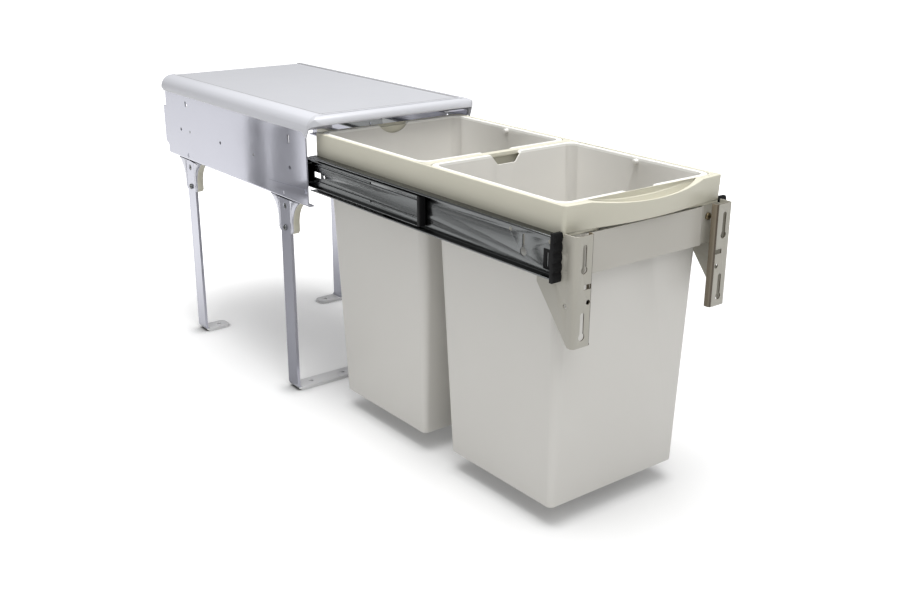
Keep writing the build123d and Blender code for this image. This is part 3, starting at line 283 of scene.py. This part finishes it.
def round_edges(node, body, finish, width, steps=2, turn=30, clamp=False, foot=0, join=0.1):
    """A copy of a node with the edges that turn by more than so many degrees rounded to a width in metres.
    It stands for the node. The edges round its foot can have a larger width of their own, and flat faces
    that differ by less than join degrees become one."""
    bpy.ops.object.select_all(action="DESELECT")
    piece = bpy.data.objects.new(f"{node}_rounded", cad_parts[node].data.copy())
    bpy.context.scene.collection.objects.link(piece)
    piece.select_set(True)
    bpy.context.view_layer.objects.active = piece
    bpy.ops.object.mode_set(mode="EDIT")
    bpy.ops.mesh.select_all(action="SELECT")
    bpy.ops.mesh.remove_doubles(threshold=weld_reach)
    bpy.ops.mesh.dissolve_limited(angle_limit=math.radians(join))
    bpy.ops.mesh.select_all(action="DESELECT")
    bpy.ops.object.mode_set(mode="OBJECT")
    if foot:
        lowest = min(corner.co.z for corner in piece.data.vertices)
        for edge in piece.data.edges:
            heights = [piece.data.vertices[end].co.z for end in edge.vertices]
            edge.select = max(heights) < lowest + level_reach
        bpy.ops.object.mode_set(mode="EDIT")
        bpy.ops.mesh.select_mode(type="EDGE")
        bpy.ops.mesh.bevel(offset=foot, segments=5, clamp_overlap=True)
        bpy.ops.object.mode_set(mode="OBJECT")
    bevel = piece.modifiers.new("rounding", "BEVEL")
    bevel.width = width
    bevel.segments = steps
    bevel.angle_limit = math.radians(turn)
    bevel.use_clamp_overlap = clamp
    bevel.miter_outer = "MITER_SHARP" if clamp else "MITER_ARC"
    bpy.ops.object.modifier_apply(modifier=bevel.name)
    bpy.ops.object.shade_smooth_by_angle(angle=math.radians(turn))
    piece.data.materials.clear()
    piece.data.materials.append(finish.material)
    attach(piece, body)
    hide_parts(node)


# Side plates, stirrup and rear legs: folded sheet and bent flat bar under a glossy silver lacquer. On the
# bars that lie on the floor the lacquer is painted flat, not metallic white, a painted reflection of the
# white floor.
# The gussets clip to the plates, and the bars are screwed to the gussets.
floor_bar_top = 0.0045
casing_paint = Finish("casing_paint", coat_weight=0.3)
casing_paint.surface.inputs["Coat Roughness"].default_value = 0.08
casing_tone = casing_paint.noise(9, 3)
raised = casing_paint.along("Z") > floor_bar_top
silver = casing_paint.mix(casing_tone, pigment(180, 181, 192), pigment(188, 189, 200))
# Painted reflection: the floor bars are flat white in place of the silver.
casing_paint.feed("Base Color", casing_paint.mix(raised, pigment(242, 242, 243), silver))
casing_paint.feed("Metallic", 0.5 * raised)
casing_paint.feed("Roughness", 0.04 + 0.06 * casing_paint.noise(40, 3))
casing_paint.bump(casing_paint.noise(420, 2), 0.00001)
coat(
    ("left_side_plate", "right_side_plate", "front_stirrup", "left_rear_leg", "right_rear_leg"),
    casing_paint,
)

# Lid: one pressed sheet of steel under a satin white lacquer, its field a little lower than its border. The
# crease between them is painted with shade, and the side borders are painted lighter as a highlight. Its
# skirts lie outside the side plates and tie them together.
border_x = 0.111
border_y = -0.2126
field_x = 0.1074
field_y = -0.2095
lid_paint = Finish("lid_paint", metallic=0.08, coat_weight=0.08)
lid_tone = lid_paint.noise(7, 3)
across = lid_paint.along("X") * lid_paint.along("X")
behind_nose = lid_paint.along("Y") > border_y
in_field = (across < field_x**2) * (lid_paint.along("Y") > field_y)
# Painted shade in the crease round the field, and a painted highlight on the side borders.
crease_shade = (across < border_x**2) * behind_nose * (1 - in_field)
border_highlight = (across > border_x**2) * behind_nose
flat_lid = lid_paint.mix(lid_tone, pigment(196, 197, 202), pigment(201, 202, 207))
lid_with_border_highlight = lid_paint.mix(border_highlight, flat_lid, pigment(208, 209, 215))
lid_paint.feed("Base Color", lid_paint.mix(crease_shade, lid_with_border_highlight, pigment(150, 150, 152)))
lid_paint.feed("Roughness", 0.36 + 0.1 * lid_paint.noise(30, 3))
lid_paint.bump(lid_paint.noise(380, 2), 0.00003)
round_edges("lid", "casing", lid_paint, 0.0006, 3, 20)

# Slides, cages and leg screws: zinc plated steel, rolled, with the drag marks of the rollers along it. The
# casing members are riveted to the side plates, and the channels to the rails and door brackets.
zinc = Finish("zinc_plate", metallic=1.0)
streak = zinc.noise(1.0, 4, (520, 2.5, 520), 0.65)
bloom = zinc.noise(14, 3)
zinc_base = zinc.mix(bloom, pigment(84, 86, 87), pigment(103, 105, 107))
zinc.feed("Base Color", zinc.mix(streak * 0.4, zinc_base, pigment(150, 152, 150)))
zinc.feed("Roughness", 0.12 + 0.2 * streak)
zinc.bump(streak, 0.00002)
coat([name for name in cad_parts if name.endswith(("casing_slide", "cage"))], zinc)
coat(("slide_rivets", "leg_screws", "countersunk_screws"), zinc)
for side in ("left", "right"):
    round_edges(f"{side}_channel", "carriage", zinc, 0.0003)
    round_edges(f"{side}_intermediate", f"{side}_intermediate", zinc, 0.0003)

# Balls: bright hardened steel. They sit in the cages' pockets and roll between the slides' members.
bright_steel = Finish("bright_steel", metallic=1.0)
wear = bright_steel.noise(260, 3)
bright_steel.feed(
    "Base Color", bright_steel.mix(wear, pigment(176, 176, 178), pigment(205, 205, 206))
)
bright_steel.feed("Roughness", 0.18 + 0.16 * wear)
coat([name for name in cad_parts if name.endswith("balls")], bright_steel)

# Surround screws: steel with a dull yellow brown passivation. They go through the front rail's tabs into
# the surround's lugs.
dull_steel = Finish("dull_steel", metallic=1.0)
tarnish = dull_steel.noise(300, 3)
dull_steel.feed("Base Color", dull_steel.mix(tarnish, pigment(112, 100, 78), pigment(138, 126, 100)))
dull_steel.feed("Roughness", 0.34 + 0.16 * dull_steel.noise(260, 3))
coat(("surround_screws",), dull_steel)

# Front rail, side rails, rear rail and door brackets: folded steel under a warm light grey paint, riveted
# together. The brackets' inner folds are painted brown as shade, and their cut edges and hole walls a
# darker brown, also as painted shade.
fold_x = 0.0921
fold_rear_y = -0.674
fold_front_y = -0.6826
bend_x = 0.1112
sheet_rear_y = -0.6815
sheet_front_y = -0.68275
frame_paint = Finish("frame_paint")
grain = frame_paint.noise(12, 3)
across = frame_paint.along("X") * frame_paint.along("X")
outside = across > fold_x**2
frame_colour = frame_paint.mix(
    outside,
    frame_paint.mix(grain, pigment(184, 181, 172), pigment(191, 188, 180)),
    frame_paint.mix(grain, pigment(173, 170, 159), pigment(180, 177, 167)),
)
ahead = frame_paint.along("Y")
# Painted shade: brown on the brackets' inner folds, darker brown on their cut edges and hole walls.
inner_fold_shade = (1 - outside) * (ahead < fold_rear_y) * (ahead > fold_front_y)
cut_edge_shade = (across < bend_x**2) * (ahead < sheet_rear_y) * (ahead > sheet_front_y)
fold_shaded_paint = frame_paint.mix(inner_fold_shade, frame_colour, pigment(118, 108, 92))
frame_paint.feed("Base Color", frame_paint.mix(cut_edge_shade, fold_shaded_paint, pigment(78, 68, 54)))
frame_paint.feed("Roughness", 0.3 + 0.12 * frame_paint.noise(60, 3))
frame_paint.bump(frame_paint.noise(520, 2), 0.00004)
coat([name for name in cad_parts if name.endswith("rail")], frame_paint)
coat(("channel_rivets", "rail_rivets"), frame_paint)
for side in ("left", "right"):
    round_edges(f"{side}_door_bracket", "carriage", frame_paint, 0.0004)

# Gussets: ivory plastic mouldings whose flat outer faces are silvered like the legs. They clip to the side
# plates with pegs, and the legs are screwed to them.
gusset_out = 0.1277
gusset_plastic = Finish("gusset_plastic")
outer_face = gusset_plastic.along("X") * gusset_plastic.along("X") > gusset_out**2
gusset_tone = gusset_plastic.noise(8, 3)
gusset_ivory = gusset_plastic.mix(gusset_tone, pigment(207, 204, 187), pigment(213, 210, 194))
gusset_plastic.feed("Base Color", gusset_plastic.mix(outer_face, gusset_ivory, pigment(190, 191, 200)))
gusset_plastic.feed("Metallic", 0.4 * outer_face)
gusset_plastic.feed("Roughness", 0.42 - 0.3 * outer_face)
for side in ("left", "right"):
    for end in ("front", "rear"):
        round_edges(f"{side}_{end}_gusset", "casing", gusset_plastic, 0.0006)

# Surround: one ivory plastic moulding with a seat for each bucket. It lies on the rails, and two screws
# hold it to the front rail.
ivory = Finish("ivory_plastic")
cloud = ivory.noise(8, 3)
ivory.feed("Base Color", ivory.mix(cloud, pigment(207, 204, 187), pigment(213, 210, 194)))
ivory.feed("Roughness", 0.36 + 0.14 * ivory.noise(50, 3))
ivory.bump(ivory.noise(900, 2), 0.00003)
round_edges("surround", "carriage", ivory, 0.0008, 3, join=0)

# Buckets: two light grey plastic mouldings, their rims painted paler as a highlight. They hang loose by
# their rims in the surround's seats.
rim_low = 0.3668
bucket_plastic = Finish("bucket_plastic")
haze = bucket_plastic.noise(6, 3)
wall_colour = bucket_plastic.mix(haze, pigment(215, 213, 207), pigment(220, 218, 213))
# Painted highlight: the rims are paler than the walls.
rim_highlight = bucket_plastic.along("Z") > rim_low
bucket_plastic.feed("Base Color", bucket_plastic.mix(rim_highlight, wall_colour, pigment(234, 233, 228)))
bucket_plastic.feed("Roughness", 0.34 + 0.14 * bucket_plastic.noise(36, 3))
bucket_plastic.bump(bucket_plastic.noise(1100, 2), 0.00003)
for end in ("front", "rear"):
    round_edges(
        f"{end}_bucket", f"{end}_bucket", bucket_plastic, 0.0007, 3, foot=0.004
    )

# End caps and bumpers: black plastic that takes the knocks of opening and closing. The caps' tongues clip
# into the channels, and the bumpers sit on the intermediates' front ends.
black = Finish("black_plastic")
black.surface.inputs["Specular IOR Level"].default_value = 0.14
scuff = black.noise(120, 3)
black.feed("Base Color", black.mix(scuff, pigment(15, 15, 16), pigment(24, 24, 25)))
black.feed("Roughness", 0.42 + 0.2 * scuff)
black.bump(black.noise(1500, 2), 0.00003)
for side in ("left", "right"):
    round_edges(f"{side}_end_cap", "carriage", black, 0.0006, 3, 40, True)
    round_edges(f"{side}_bumper", f"{side}_intermediate", black, 0.0004)

bpy.context.view_layer.update()
